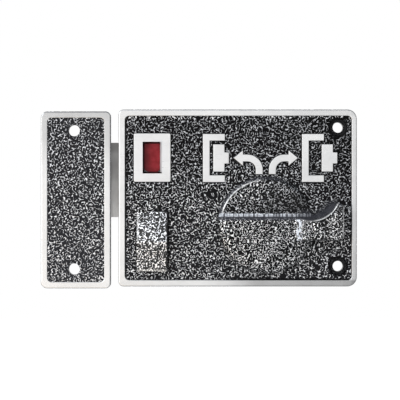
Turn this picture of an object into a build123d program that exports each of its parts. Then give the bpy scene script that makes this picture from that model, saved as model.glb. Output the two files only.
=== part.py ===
from build123d import *
import math
import os

# Rim lock with a turn knob, an indicator window, a slide button and a box keep.
# Sizes are in millimetres. X runs to the right and Z up as the lock is seen on the door,
# the door's surface is the plane y = 0, and the face of the lock looks towards -Y.
# "Depth" below means the distance in front of the door's surface.

# Case
case_width = 124.5
case_height = 92.5
case_depth = 30.0
case_corner_left = 2.6
case_corner_right = 5.0
wall = 3.0
border_width = 3.3
case_border_right = 2.65
field_corner = 2.3
relief = 0.8
outer_edge_round = 0.6
border_edge_round = 0.3
relief_edge_round = 0.2

# Back plate and forend
plate_thickness = 2.5
forend_length = 22.0
forend_hole_spacing = 60.0
forend_hole_radius = 2.5
forend_countersink_radius = 4.6
screw_inset_left = 6.8
screw_inset_right = 31.95
screw_inset_end = 8.0
screw_boss_radius = 4.2
screw_radius = 1.9
screw_head_radius = 3.6
screw_length = 12.0
screw_slot_width = 0.9
screw_slot_depth = 1.0

# Fixing holes through the case and the keep
fixing_spacing = 72.5
fixing_hole_radius = 3.0
fixing_boss_radius = 5.6
case_hole_radius = 2.75
case_holes_above_centre = 0.6
case_fixing_inset = 9.85
countersink_radius = 5.0
countersink_depth = 2.0

# Keep
keep_gap = 4.2
keep_width = 36.4
keep_drop = 1.0
keep_corner_left = 3.4
keep_corner_right = 2.6
keep_fixing_inset = 17.35
keep_clearance = 0.8

# Bolt, rack and pinion
bolt_height = 38.9
bolt_thickness = 16.0
bolt_face_gap = 4.0
bolt_above_centre = 9.45
bolt_nose_inset = 0.2
bolt_end_radius = 0.8
bolt_clearance = 0.25
tooth_module = 1.5
pinion_teeth = 17
pressure_angle = 20.0
tooth_gap = 0.25
knob_turn = 90.0
rack_thickness = 5.0
rack_height = 16.5
pinion_overhang = 0.5
pinion_hub_radius = 8.0
pinion_hub_length = 1.2
pinion_to_head_gap = 1.4
tail_thickness = 6.0
tail_top_drop = 3.9
tail_above_pitch_line = 8.0
rack_rivet_radius = 1.6
stop_pin_radius = 2.5
stop_pin_shank_radius = 2.0
stop_pin_past_tail = 2.0
stop_slot_drop = 8.9
stop_pin_offset = 8.7

# Bolt guides
guide_thickness = 4.0
guide_lip = 5.0
guide_end_gap = 0.75
guide_upper_length = 45.0
guide_lower_length = 22.0
guide_rivet_radius = 1.6
guide_rivet_inset = 6.0
guide_rivet_recess = 0.5
spring_strip = 0.4
bow_spring_length = 24.0
bow_spring_rise = 1.6
bow_spring_width = 7.0
spring_gap = 0.3
spring_pocket_gap = 0.5
spring_pocket_end_gap = 1.0

# Window and red tile
window_inset_side = 17.55
window_above_centre = 21.1
window_width = 10.0
window_height = 16.6
window_draft = 0.9
window_frame_width = 4.6
window_frame_height = 4.35
window_frame_corner = 0.8
flag_width = 8.2
flag_height = 14.6
flag_corner = 2.0
flag_recess = 3.5
flag_rivet_radius = 1.2
flag_rivet_spacing = 8.0
flag_rivet_in_bolt = 4.0
flag_rivet_in_tile = 1.0

# Function symbols and arrows on the face
symbol_above_centre = 20.9
symbol_width = 11.5
symbol_height = 25.2
symbol_stroke = 3.55
symbol_block_width = 5.9
symbol_block_height = 14.3
symbol_nub_width = 2.3
symbol_nub_height = 5.9
symbol_left_offset = -32.9
symbol_left_block = 5.4
symbol_right_offset = 18.9
symbol_right_block = 10.3
arrow_gap = 3.2
arrow_stroke = 3.65
arrow_foot_above_centre = 12.4
arrow_inner_bend = 4.4
arrow_neck = 11.9
arrow_tip = 16.8
arrow_head_half = 4.1

# Knob and spindle
knob_inset_side = 47.55
knob_below_centre = 14.3
knob_radius = 25.2
knob_base_gap = 1.4
knob_rim_height = 0.8
knob_rim_chamfer = 1.4
knob_floor_height = 1.6
knob_body_edge = 5.0
knob_body_round = 2.4
knob_dome_rise = 1.4
scoop_foot = 5.6
scoop_shoulder = 4.0
scoop_crest = 2.4
scoop_axis_side = 23.5
scoop_axis_up = 17.4
tail_length = 40.6
tail_top = 11.4
tail_bottom = 8.0
tail_ramp_start = 15.5
tail_ramp_end = 24.9
tail_ramp_height = 16.0
tail_tip_height = 17.4
tail_tip_underside = 3.0
tail_corner = 2.4
tail_edge_round = 1.0
shank_radius = 7.0
shank_to_hub_gap = 0.3
running_gap = 0.05
bush_wall = 2.0
bush_flange_radius = 10.6
bush_flange_thickness = 1.2
bush_face_gap = 0.2
circlip_thickness = 1.0
circlip_groove_depth = 0.6
circlip_outer_radius = 9.0
circlip_opening = 4.0
washer_thickness = 0.4
washer_outer_radius = 9.8
washer_space = 0.6
knob_pin_radius = 1.25
knob_pin_from_end = 2.0
spindle_square = 8.0
spindle_socket_gap = 0.05
spindle_shoulder_radius = 7.0
journal_radius = 5.0
journal_recess = 0.3
rear_bush_radius = 7.0
rear_bush_flange_radius = 9.5
rear_bush_flange_thickness = 2.0
release_slot_width = 2.4
release_slot_length = 7.5
release_slot_depth = 6.0

# Slide button
button_inset_side = 17.5
button_inset_bottom = 23.35
button_width = 16.1
button_height = 31.1
button_gap = 0.3
button_low_edge = 0.7
button_low_crown = 1.6
button_high_edge = 3.6
button_high_crown = 5.6
button_edge_round = 0.6
button_travel = 6.0
neck_width = 6.0
neck_height = 12.0
neck_gap = 0.3
snib_plate_thickness = 2.0
snib_plate_gap = 0.4
snib_plate_width = 10.5
snib_plate_height = 26.4
snib_arm_height = 8.5
tongue_width = 8.0
notch_end_wall = 4.72
tongue_height = 7.2
tongue_reach = 8.6
tongue_rest_gap = 0.8
notch_gap = 0.3
snib_screw_radius = 1.5
snib_screw_head_radius = 2.6
snib_screw_spacing = 6.0
snib_screw_length = 6.0
snib_rib_width = 1.6
snib_spring_length = 12.0
snib_spring_rise = 2.5
snib_spring_width = 4.6
snib_post_radius = 1.6

# Places worked out from the sizes above
case_left = -case_width / 2
case_right = case_width / 2
case_top = case_height / 2
face_inside = case_depth - wall
keep_right = case_left - keep_gap
keep_left = keep_right - keep_width
knob_x = case_right - knob_inset_side
knob_z = -knob_below_centre
pitch_radius = tooth_module * pinion_teeth / 2
tooth_pitch = math.pi * tooth_module
bolt_throw = pitch_radius * math.radians(knob_turn)
pinion_outer_radius = pitch_radius + tooth_module
pinion_root_radius = pitch_radius - 1.25 * tooth_module
pitch_line_z = knob_z + pitch_radius
bolt_top = bolt_above_centre + bolt_height / 2
bolt_bottom = bolt_top - bolt_height
bolt_front = face_inside - bolt_face_gap
bolt_depth = bolt_front - bolt_thickness
bolt_nose = case_left + bolt_nose_inset - bolt_throw
head_end = knob_x - pinion_outer_radius - bolt_throw - pinion_to_head_gap
tail_back = bolt_depth
tail_front = tail_back + tail_thickness
tail_high = bolt_top - tail_top_drop
tail_low = pitch_line_z + tail_above_pitch_line
rack_teeth_left = math.ceil((bolt_throw + 5 * tooth_module) / tooth_pitch)
rack_teeth_right = math.ceil(5 * tooth_module / tooth_pitch)
rack_left = knob_x - (rack_teeth_left + 0.75) * tooth_pitch
rack_right = knob_x + (rack_teeth_right + 0.75) * tooth_pitch
rack_front = tail_front + rack_thickness
tail_end = rack_right
guide_lower_left = case_left + wall + guide_end_gap
guide_upper_left = case_left + screw_inset_left + screw_boss_radius + guide_end_gap
window_x = case_left + window_inset_side
window_z = window_above_centre
button_x = case_left + button_inset_side
button_z = button_inset_bottom - case_top
tongue_x = head_end - notch_end_wall - notch_gap - tongue_width / 2
stop_pin_x = knob_x - stop_pin_offset
stop_pin_z = bolt_top - stop_slot_drop
knob_base = case_depth + knob_base_gap
pinion_back = tail_front - pinion_overhang
pinion_front = rack_front + pinion_overhang
shank_end = pinion_front + pinion_hub_length + shank_to_hub_gap
snib_plate_front = face_inside - snib_plate_gap
snib_plate_back = snib_plate_front - snib_plate_thickness
screw_places = [
    (x, z)
    for x in (case_left + screw_inset_left, case_right - screw_inset_right)
    for z in (case_top - screw_inset_end, screw_inset_end - case_top)
]
keep_hole_heights = (fixing_spacing / 2, -fixing_spacing / 2)
case_hole_heights = [z + case_holes_above_centre for z in keep_hole_heights]


def area(left, right, bottom, top):
    """A rectangle between four edges, as seen from the front."""
    return Pos((left + right) / 2, (bottom + top) / 2) * Rectangle(right - left, top - bottom)


def disc(x, z, radius):
    """A circle, as seen from the front."""
    return Pos(x, z) * Circle(radius)


def slab(shape, start, end):
    """A flat shape, as seen from the front, made solid between two depths."""
    return extrude(Plane.XZ.offset(start) * shape, end - start)


def turned(profile, x, z):
    """A profile of (radius, depth) corners turned about an axis square to the door."""
    corners = [(x + radius, -depth, z) for radius, depth in profile]
    return revolve(make_face(Polyline(*corners, close=True)), Axis((x, 0, z), (0, 1, 0)), 360)


def group(solids):
    """Several like pieces, kept as separate solids."""
    return Compound(children=list(solids))


def rounded_outline(left, right, top, corner_left, corner_right):
    """The outline of the case or the keep, symmetric about the plane z = 0."""
    outline = area(left, right, -top, top)
    outline = fillet(outline.vertices().group_by(Axis.X)[-1], corner_right)
    return fillet(outline.vertices().group_by(Axis.X)[0], corner_left)


def cast_shell(left, right, corner_left, corner_right, border_right, open_depth):
    """A cast box, open at the back from the given depth, with its raised border."""
    outline = rounded_outline(left, right, case_top, corner_left, corner_right)
    field_top = case_top - border_width
    field = area(left + border_width, right - border_right, -field_top, field_top)
    field = fillet(field.vertices(), field_corner)
    body = slab(outline, open_depth, case_depth + relief)
    front_edge = body.faces().sort_by(Axis.Y)[0].outer_wire().edges()
    body = fillet(front_edge, outer_edge_round)
    body -= slab(field, case_depth, case_depth + 2 * relief)
    inner_edge = body.faces().sort_by(Axis.Y)[0].inner_wires()[0].edges()
    body = fillet(inner_edge, border_edge_round)
    hollow = offset(area(left, right, -case_top, case_top), -wall, kind=Kind.INTERSECTION)
    return body - slab(hollow, open_depth, face_inside)


def fixing_bosses(x, heights, start):
    """The two tubes that the fixing screws pass through."""
    return [slab(disc(x, z, fixing_boss_radius), start, face_inside) for z in heights]


def fixing_holes(x, heights, radius, mouth):
    """The two fixing holes, right through from the face to the door."""
    profile = [
        (0, -1),
        (radius, -1),
        (radius, case_depth - countersink_depth),
        (mouth, case_depth),
        (mouth, case_depth + 1),
        (0, case_depth + 1),
    ]
    return [turned(profile, x, z) for z in heights]


def keep_symbol(left, block_offset):
    """A keep drawn as an open bracket, with a bolt in it or drawn back from it."""
    middle = symbol_above_centre
    low = middle - symbol_height / 2
    high = middle + symbol_height / 2
    right = left + symbol_width
    bracket = area(left, right, low, high)
    bracket -= area(left + symbol_stroke, right, low + symbol_stroke, high - symbol_stroke)
    block_left = left + block_offset
    block_right = block_left + symbol_block_width
    half_block = symbol_block_height / 2
    half_nub = symbol_nub_height / 2
    block = area(block_left, block_right, middle - half_block, middle + half_block)
    block += area(block_right, block_right + symbol_nub_width, middle - half_nub, middle + half_nub)
    return [bracket, block]


def turn_arrow(side):
    """A curved arrow beside the centre line: side is 1 for the right one and -1 for the left."""
    foot = arrow_foot_above_centre
    middle = symbol_above_centre
    shaft_low = middle - arrow_stroke / 2
    shaft_high = middle + arrow_stroke / 2
    inner = arrow_gap / 2 + arrow_stroke
    bend_x = inner + arrow_inner_bend
    bend_z = shaft_low - arrow_inner_bend
    outer_bend = arrow_inner_bend + arrow_stroke
    ring = Pos(bend_x, bend_z) * (Circle(outer_bend) - Circle(arrow_inner_bend))
    ring &= area(bend_x - outer_bend, bend_x, bend_z, bend_z + outer_bend)
    stem = area(arrow_gap / 2, inner, foot, bend_z)
    shaft = area(bend_x, arrow_neck, shaft_low, shaft_high)
    head = make_face(
        Polyline(
            (arrow_neck, middle - arrow_head_half),
            (arrow_tip, middle),
            (arrow_neck, middle + arrow_head_half),
            close=True,
        )
    )
    arrow = ring + stem + shaft + head
    if side < 0:
        arrow = mirror(arrow, Plane.YZ)
    return Pos(knob_x, 0) * arrow


def face_relief():
    """The polished figures that stand up from the face."""
    frame_corner_x = window_width / 2 + window_frame_width
    frame_corner_z = window_height / 2 + window_frame_height
    frame = area(-frame_corner_x, frame_corner_x, -frame_corner_z, frame_corner_z)
    frame = Pos(window_x, window_z) * fillet(frame.vertices(), window_frame_corner)
    figures = [frame, turn_arrow(-1), turn_arrow(1)]
    figures += keep_symbol(knob_x + symbol_left_offset, symbol_left_block)
    figures += keep_symbol(knob_x + symbol_right_offset, symbol_right_block)
    solids = [slab(figure, case_depth, case_depth + relief) for figure in figures]
    return [fillet(solid.faces().sort_by(Axis.Y)[0].edges(), relief_edge_round) for solid in solids]


def bolt_space(left, right, gap):
    """The space that the bolt needs between two places along its way, with a gap all round."""
    shape = area(left, right, bolt_bottom - gap, bolt_top + gap)
    return slab(shape, bolt_depth - gap, bolt_front + gap)


def window_cut():
    """The window's opening through the face, wider at the front by its draft."""
    front = case_depth + relief
    sections = []
    for depth in (face_inside - 1, front + 1):
        growth = 2 * window_draft * (depth - front) / (front - face_inside)
        shape = Pos(window_x, window_z) * Rectangle(window_width + growth, window_height + growth)
        sections.append(Plane.XZ.offset(depth) * shape)
    return loft(sections, ruled=True)


def neck_slot():
    """The slot that the slide button's neck runs in."""
    half_width = neck_width / 2 + neck_gap
    bottom = button_z - neck_height / 2 - neck_gap
    top = button_z + neck_height / 2 + button_travel + neck_gap
    slot = area(button_x - half_width, button_x + half_width, bottom, top)
    return slab(slot, face_inside - 1, case_depth + 1)


def snib_spring_ends():
    """The two ends of the slide button's bow spring, lower one first."""
    edge = button_x + snib_plate_width / 2 + spring_gap + spring_strip / 2
    arm_bottom = bolt_bottom - tongue_rest_gap - snib_arm_height
    middle = arm_bottom - notch_gap - 2 * snib_post_radius - snib_spring_length / 2
    low = (edge + snib_spring_rise, middle - snib_spring_length / 2)
    high = (edge + snib_spring_rise, middle + snib_spring_length / 2)
    return low, (edge, middle), high


def inner_ribs():
    """The ribs and posts inside the face that guide the bolt and the slide button."""
    bolt_rib_z = (bolt_bottom + bolt_top) / 2 - bolt_height / 8
    bolt_rib = area(case_left + wall, head_end, bolt_rib_z, bolt_rib_z + wall)
    rib_right = button_x - snib_plate_width / 2 - notch_gap
    rib_top = button_z + neck_height
    side_rib = area(rib_right - snib_rib_width, rib_right, wall - case_top, rib_top)
    ribs = [slab(bolt_rib, bolt_front + bolt_clearance, face_inside)]
    ribs.append(slab(side_rib, snib_plate_back, face_inside))
    low, _, high = snib_spring_ends()
    for x, z in (low, high):
        post = disc(x + snib_post_radius + spring_strip, z, snib_post_radius)
        ribs.append(slab(post, snib_plate_front - snib_spring_width, face_inside))
    return ribs


def case_cover():
    """The cast front of the case."""
    corners = (case_corner_left, case_corner_right)
    body = cast_shell(case_left, case_right, *corners, case_border_right, plate_thickness)
    body += face_relief()
    body += inner_ribs()
    holes_x = case_right - case_fixing_inset
    body += fixing_bosses(holes_x, case_hole_heights, plate_thickness)
    for x, z in screw_places:
        body += slab(disc(x, z, screw_boss_radius), plate_thickness, face_inside)
    for x, z in screw_places:
        body -= slab(disc(x, z, screw_radius), plate_thickness, screw_length + 1)
    body -= fixing_holes(holes_x, case_hole_heights, case_hole_radius, countersink_radius)
    body -= slab(disc(knob_x, knob_z, shank_radius + bush_wall), face_inside - 1, case_depth + 1)
    body -= bolt_space(case_left - 1, case_left + 2 * wall, bolt_clearance)
    return body - [window_cut(), neck_slot()]


def back_plate():
    """The steel plate behind the case, folded back at the left as the forend."""
    outline = rounded_outline(case_left, case_right, case_top, case_corner_left, case_corner_right)
    plate = slab(outline, 0, plate_thickness)
    fold_height = case_height - 2 * case_corner_left
    forend = area(case_left, case_left + plate_thickness, -fold_height / 2, fold_height / 2)
    plate += slab(forend, -forend_length, plate_thickness / 2)
    for z in case_hole_heights:
        plate -= slab(disc(case_right - case_fixing_inset, z, case_hole_radius), -1, plate_thickness + 1)
    plate -= slab(disc(knob_x, knob_z, rear_bush_radius), -1, plate_thickness + 1)
    plate -= slab(disc(stop_pin_x, stop_pin_z, stop_pin_shank_radius), -1, plate_thickness + 1)
    for x, z in guide_rivet_places():
        plate -= slab(disc(x, z, guide_rivet_radius), -1, plate_thickness + 1)
    for x, z in screw_places:
        plate -= turned(countersunk_profile(screw_radius, screw_head_radius, screw_length), x, z)
    for z in (forend_hole_spacing / 2, -forend_hole_spacing / 2):
        hole = Plane.YZ.offset(case_left) * (Pos(forend_length / 2, z) * Circle(forend_hole_radius))
        plate -= extrude(hole, plate_thickness)
        sink = Plane.YZ.offset(case_left) * (Pos(forend_length / 2, z) * Circle(forend_countersink_radius))
        rise = forend_countersink_radius - forend_hole_radius
        plate -= extrude(sink, rise, taper=45)
    return plate


def countersunk_profile(radius, head_radius, length):
    """Half the outline of a countersunk screw, with its head level with the door's side."""
    return [(0, 0), (head_radius, 0), (radius, head_radius - radius), (radius, length), (0, length)]


def back_plate_screws():
    """Four countersunk slotted screws, put in from behind."""
    profile = countersunk_profile(screw_radius, screw_head_radius, screw_length)
    screws = []
    for x, z in screw_places:
        slot = Pos(x, z) * Rectangle(2 * screw_head_radius, screw_slot_width)
        screws.append(turned(profile, x, z) - slab(slot, -1, screw_slot_depth))
    return group(screws)


def guide_rivet_places():
    """Where the two rails are riveted to the back plate."""
    upper_z = bolt_top + bolt_clearance + guide_thickness / 2
    lower_z = bolt_bottom - bolt_clearance - guide_thickness / 2
    places = []
    for left, length, z in (
        (guide_upper_left, guide_upper_length, upper_z),
        (guide_lower_left, guide_lower_length, lower_z),
    ):
        places += [(left + guide_rivet_inset, z), (left + length - guide_rivet_inset, z)]
    return places


def bolt_guide(left, length, side):
    """An L-shaped rail: side is 1 above the bolt and -1 below it."""
    edge = bolt_top + bolt_clearance if side > 0 else bolt_bottom - bolt_clearance
    far = edge + side * guide_thickness
    lip = edge - side * guide_lip
    side_wall = area(left, left + length, min(edge, far), max(edge, far))
    back_wall = area(left, left + length, min(lip, far), max(lip, far))
    rail = slab(side_wall, plate_thickness, bolt_front - bolt_clearance)
    rail += slab(back_wall, plate_thickness, bolt_depth - bolt_clearance)
    for x, z in guide_rivet_places():
        rail -= slab(disc(x, z, guide_rivet_radius), 0, plate_thickness + guide_thickness)
    return rail


def bow_spring_depth():
    """The two depths between which the strip over the bolt lies."""
    middle = (bolt_depth + bolt_front) / 2
    return middle - bow_spring_width / 2, middle + bow_spring_width / 2


def bow_spring_middle():
    """The place along the bolt's way of the middle of the strip over it."""
    return guide_upper_left + guide_upper_length / 2


def bolt_guide_upper():
    """The upper rail, with the pocket that holds the bow spring."""
    rail = bolt_guide(guide_upper_left, guide_upper_length, 1)
    half = bow_spring_length / 2 + spring_pocket_end_gap
    middle = bow_spring_middle()
    back, front = bow_spring_depth()
    roof = bolt_top + spring_gap + bow_spring_rise + 2 * spring_strip
    pocket = area(middle - half, middle + half, bolt_top, roof)
    return rail - slab(pocket, back - spring_pocket_gap, front + spring_pocket_gap)


def bolt_guide_lower():
    """The lower rail, short enough to leave the slide button's tongue free."""
    return bolt_guide(guide_lower_left, guide_lower_length, -1)


def guide_rivets():
    """Rivets of the two rails, level with the back of the plate."""
    depth = plate_thickness + guide_thickness - guide_rivet_recess
    return group(slab(disc(x, z, guide_rivet_radius), 0, depth) for x, z in guide_rivet_places())


def bow_strip(start, middle, end):
    """A thin strip bent to an arc, as seen from the front."""
    return trace(ThreePointArc(start, middle, end), spring_strip)


def bolt_tension_spring():
    """The bowed strip between the upper rail and the bolt's top edge."""
    centre = bow_spring_middle()
    half = bow_spring_length / 2
    low = bolt_top + spring_gap + spring_strip / 2
    high = low + bow_spring_rise
    back, front = bow_spring_depth()
    strip = bow_strip((centre - half, high), (centre, low), (centre + half, high))
    return slab(strip, back, front)


def travel_stop_pin():
    """The shouldered pin, riveted into the back plate, that the bolt's slot runs on."""
    front = tail_front + stop_pin_past_tail
    profile = [
        (0, 0),
        (stop_pin_shank_radius, 0),
        (stop_pin_shank_radius, plate_thickness),
        (stop_pin_radius, plate_thickness),
        (stop_pin_radius, front),
        (0, front),
    ]
    return turned(profile, stop_pin_x, stop_pin_z)


def spindle_bush_front():
    """The flanged bush in the face that the knob's shank turns in."""
    bore = shank_radius + running_gap
    back = face_inside - bush_flange_thickness
    front = knob_base - bush_face_gap
    profile = [
        (bore, back),
        (bush_flange_radius, back),
        (bush_flange_radius, face_inside),
        (shank_radius + bush_wall, face_inside),
        (shank_radius + bush_wall, front),
        (bore, front),
    ]
    return turned(profile, knob_x, knob_z)


def spindle_bush_rear():
    """The flanged bush in the back plate that the spindle's journal turns in."""
    bore = journal_radius + running_gap
    flange_front = plate_thickness + rear_bush_flange_thickness
    profile = [
        (bore, 0),
        (rear_bush_radius, 0),
        (rear_bush_radius, plate_thickness),
        (rear_bush_flange_radius, plate_thickness),
        (rear_bush_flange_radius, flange_front),
        (bore, flange_front),
    ]
    return turned(profile, knob_x, knob_z)


def snib_spring():
    """The bowed strip that presses on the edge of the slide button's plate."""
    low, middle, high = snib_spring_ends()
    return slab(bow_strip(low, middle, high), snib_plate_front - snib_spring_width, snib_plate_front)


def keep():
    """The box keep on the door frame, open towards the bolt and at the back."""
    body = cast_shell(keep_left, keep_right, keep_corner_left, keep_corner_right, border_width, 0)
    holes_x = keep_left + keep_fixing_inset
    body += fixing_bosses(holes_x, keep_hole_heights, 0)
    body -= fixing_holes(holes_x, keep_hole_heights, fixing_hole_radius, fixing_hole_radius)
    body = Pos(0, 0, -keep_drop) * body
    return body - bolt_space(keep_right - 2 * wall, keep_right + 1, keep_clearance)


def scoop_tool():
    """What is taken off above the knob's bar: straight at the left, and round beside the tail."""
    foot_depth = knob_base - 1
    floor_depth = knob_base + knob_floor_height
    crest = knob_base + tail_tip_height + 1
    axis_x = knob_x + scoop_axis_side
    axis_z = knob_z + scoop_axis_up
    foot = (axis_x, -floor_depth, knob_z + scoop_foot)
    shoulder = (axis_x, -(knob_base + knob_body_edge + knob_dome_rise), knob_z + scoop_shoulder)
    top = (axis_x, -crest, knob_z + scoop_crest)
    far = [top, (axis_x, -crest, axis_z), (axis_x, -foot_depth, axis_z)]
    near = [far[-1], (axis_x, -foot_depth, knob_z + scoop_foot), foot]
    profile = make_face([Spline(foot, shoulder, top), Polyline(*far), Polyline(*near)])
    round_part = revolve(profile, Axis((axis_x, 0, axis_z), (0, 1, 0)), 360)
    straight_part = extrude(profile, amount=scoop_axis_side + knob_radius + 1, dir=(-1, 0, 0))
    above = area(knob_x - knob_radius - 1, axis_x, axis_z - 1, knob_z + knob_radius + 1)
    return [round_part, straight_part, slab(above, foot_depth, crest)]


def knob_disc():
    """The thin round base of the knob with its chamfered rim."""
    profile = [
        (0, knob_base),
        (knob_radius, knob_base),
        (knob_radius, knob_base + knob_rim_height),
        (knob_radius - knob_rim_chamfer, knob_base + knob_floor_height),
        (0, knob_base + knob_floor_height),
    ]
    return turned(profile, knob_x, knob_z)


def knob_bar():
    """The raised lower half of the knob, with a rounded rim and a slight dome."""
    edge_depth = -(knob_base + knob_body_edge)
    shoulder_x = knob_x + knob_radius - knob_body_round
    apex = (knob_x, edge_depth - knob_dome_rise, knob_z)
    shoulder = (shoulder_x, edge_depth, knob_z)
    rim = (knob_x + knob_radius, edge_depth + knob_body_round, knob_z)
    foot = [rim, (knob_x + knob_radius, -knob_base, knob_z), (knob_x, -knob_base, knob_z), apex]
    dome = TangentArc(apex, shoulder, tangent=(1, 0, 0))
    edge = TangentArc(shoulder, rim, tangent=(1, 0, 0))
    body = revolve(make_face([dome, edge, Polyline(*foot)]), Axis((knob_x, 0, knob_z), (0, 1, 0)), 360)
    return body - scoop_tool()


def dome_height(distance):
    """The height of the bar above the knob's base, at a distance from the knob's axis."""
    edge = knob_radius - knob_body_round
    sphere_radius = (edge**2 + knob_dome_rise**2) / (2 * knob_dome_rise)
    drop = sphere_radius - math.sqrt(sphere_radius**2 - distance**2)
    return knob_body_edge + knob_dome_rise - drop


def knob_tail():
    """The tail that rises from the bar in a ramp and reaches past the disc's edge."""
    start_height = dome_height(tail_ramp_start)
    slope = (tail_ramp_height - start_height) / (tail_ramp_end - tail_ramp_start)
    foot = tail_ramp_start - (start_height - knob_floor_height) / slope
    side = [
        (foot, knob_floor_height),
        (tail_ramp_end, tail_ramp_height),
        (tail_length, tail_tip_height),
        (tail_length, tail_tip_underside),
        (knob_radius, knob_rim_height / 2),
        (foot, knob_rim_height / 2),
    ]
    corners = [(knob_x + x, -(knob_base + height), knob_z - tail_bottom) for x, height in side]
    profile = make_face(Polyline(*corners, close=True))
    body = extrude(profile, amount=tail_bottom + tail_top, dir=(0, 0, 1))
    tip_edges = body.edges().filter_by(Axis.Y).group_by(Axis.X)[-1]
    body = fillet(tip_edges, tail_corner)
    body = fillet(body.faces().sort_by(Axis.Y)[0].edges(), tail_edge_round)
    return body - scoop_tool()


def knob():
    """The whole knob: disc, bar and tail, with the shank that runs in the front bush."""
    body = knob_disc() + knob_bar() + knob_tail()
    groove_front = face_inside - bush_flange_thickness - washer_space
    groove_back = groove_front - circlip_thickness
    groove_radius = shank_radius - circlip_groove_depth
    shank = [
        (0, shank_end),
        (shank_radius, shank_end),
        (shank_radius, groove_back),
        (groove_radius, groove_back),
        (groove_radius, groove_front),
        (shank_radius, groove_front),
        (shank_radius, knob_base),
        (0, knob_base),
    ]
    body += turned(shank, knob_x, knob_z)
    socket_side = spindle_square + 2 * spindle_socket_gap
    socket = Pos(knob_x, knob_z) * Rectangle(socket_side, socket_side)
    body -= slab(socket, shank_end - 1, spindle_front() + spindle_socket_gap)
    return body - knob_pin_shape()


def spindle_front():
    """The depth of the spindle's front end, inside the knob."""
    return knob_base - running_gap


def knob_pin_shape():
    """The cross pin's cylinder, along X through the shank."""
    depth = shank_end + knob_pin_from_end
    centre = Plane.YZ.offset(knob_x - shank_radius) * (Pos(-depth, knob_z) * Circle(knob_pin_radius))
    return extrude(centre, 2 * shank_radius)


def knob_pin():
    """The cross pin that ties the knob to the spindle."""
    return knob_pin_shape()


def knob_circlip():
    """The open ring in the shank's groove, behind the front bush."""
    groove_front = face_inside - bush_flange_thickness - washer_space
    inner = shank_radius - circlip_groove_depth
    ring = disc(knob_x, knob_z, circlip_outer_radius) - disc(knob_x, knob_z, inner)
    ring -= area(knob_x - circlip_opening / 2, knob_x + circlip_opening / 2, knob_z - 2 * inner, knob_z)
    return slab(ring, groove_front - circlip_thickness, groove_front)


def knob_spring_washer():
    """The dished washer that gives the knob its drag."""
    groove_front = face_inside - bush_flange_thickness - washer_space
    rise = washer_space - washer_thickness - running_gap
    inner = shank_radius + 2 * running_gap
    profile = [
        (inner, groove_front),
        (washer_outer_radius, groove_front + rise),
        (washer_outer_radius, groove_front + rise + washer_thickness),
        (inner, groove_front + washer_thickness),
    ]
    return turned(profile, knob_x, knob_z)


def spindle():
    """The spindle: journal, shoulder and square, with the release slot in its rear end."""
    shoulder_back = plate_thickness + rear_bush_flange_thickness + 2 * running_gap
    profile = [
        (0, journal_recess),
        (journal_radius, journal_recess),
        (journal_radius, shoulder_back),
        (spindle_shoulder_radius, shoulder_back),
        (spindle_shoulder_radius, pinion_back),
        (0, pinion_back),
    ]
    body = turned(profile, knob_x, knob_z)
    square = Pos(knob_x, knob_z) * Rectangle(spindle_square, spindle_square)
    body += slab(square, pinion_back, spindle_front())
    slot = Pos(knob_x, knob_z) * Rectangle(release_slot_length, release_slot_width)
    body -= slab(slot, -1, journal_recess + release_slot_depth)
    return body - knob_pin_shape()


def pinion_tooth():
    """One tooth of the pinion, pointing along X, with involute flanks."""
    angle = math.radians(pressure_angle)
    base_radius = pitch_radius * math.cos(angle)
    half_tooth = math.pi / (2 * pinion_teeth) + math.tan(angle) - angle - tooth_gap / (2 * pitch_radius)
    roll_end = math.sqrt((pinion_outer_radius / base_radius) ** 2 - 1)
    flank = []
    for step in range(5):
        roll = roll_end * step / 4
        radius = base_radius * math.sqrt(1 + roll**2)
        turn = half_tooth - (roll - math.atan(roll))
        flank.append((radius * math.cos(turn), radius * math.sin(turn)))
    other_flank = [(x, -z) for x, z in flank]
    foot_x = pinion_root_radius * math.cos(half_tooth) - 0.5
    foot_z = pinion_root_radius * math.sin(half_tooth)
    edges = [
        Spline(*flank),
        ThreePointArc(flank[-1], (pinion_outer_radius, 0), other_flank[-1]),
        Spline(*other_flank),
        Polyline(other_flank[0], (foot_x, -foot_z), (foot_x, foot_z), flank[0]),
    ]
    return make_face(edges)


def pinion():
    """The pinion, with a gap between two teeth at the top to take a tooth of the rack."""
    wheel = Circle(pinion_root_radius)
    step = 360 / pinion_teeth
    tooth = pinion_tooth()
    for number in range(pinion_teeth):
        wheel += Rot(0, 0, 90 + (number + 0.5) * step) * tooth
    bore_side = spindle_square + 2 * spindle_socket_gap
    body = slab(Pos(knob_x, knob_z) * wheel, pinion_back, pinion_front)
    body += slab(disc(knob_x, knob_z, pinion_hub_radius), pinion_front, pinion_front + pinion_hub_length)
    return body - slab(Pos(knob_x, knob_z) * Rectangle(bore_side, bore_side), 0, case_depth)


def rack_rivet_places():
    """Where the rack is riveted to the bolt's tail."""
    height = (tail_low + rack_top()) / 2
    inset = 2 * tooth_pitch
    return [(rack_left + inset, height), (rack_right - inset, height)]


def rack_top():
    """The upper edge of the rack bar."""
    return pitch_line_z + rack_height


def bolt_rack():
    """The rack, with its teeth down on the pinion."""
    tip = pitch_line_z - tooth_module
    root = pitch_line_z + 1.25 * tooth_module
    slope = math.tan(math.radians(pressure_angle))
    half_pitch_width = tooth_pitch / 4 - tooth_gap / 2
    half_tip = half_pitch_width - tooth_module * slope
    half_root = half_pitch_width + 1.25 * tooth_module * slope
    corners = [(rack_left, rack_top()), (rack_left, root)]
    for number in range(-rack_teeth_left, rack_teeth_right + 1):
        middle = knob_x + number * tooth_pitch
        corners += [(middle - half_root, root), (middle - half_tip, tip)]
        corners += [(middle + half_tip, tip), (middle + half_root, root)]
    corners += [(rack_right, root), (rack_right, rack_top())]
    body = slab(make_face(Polyline(*corners, close=True)), tail_front, rack_front)
    for x, z in rack_rivet_places():
        body -= slab(disc(x, z, rack_rivet_radius), 0, case_depth)
    return body


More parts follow.
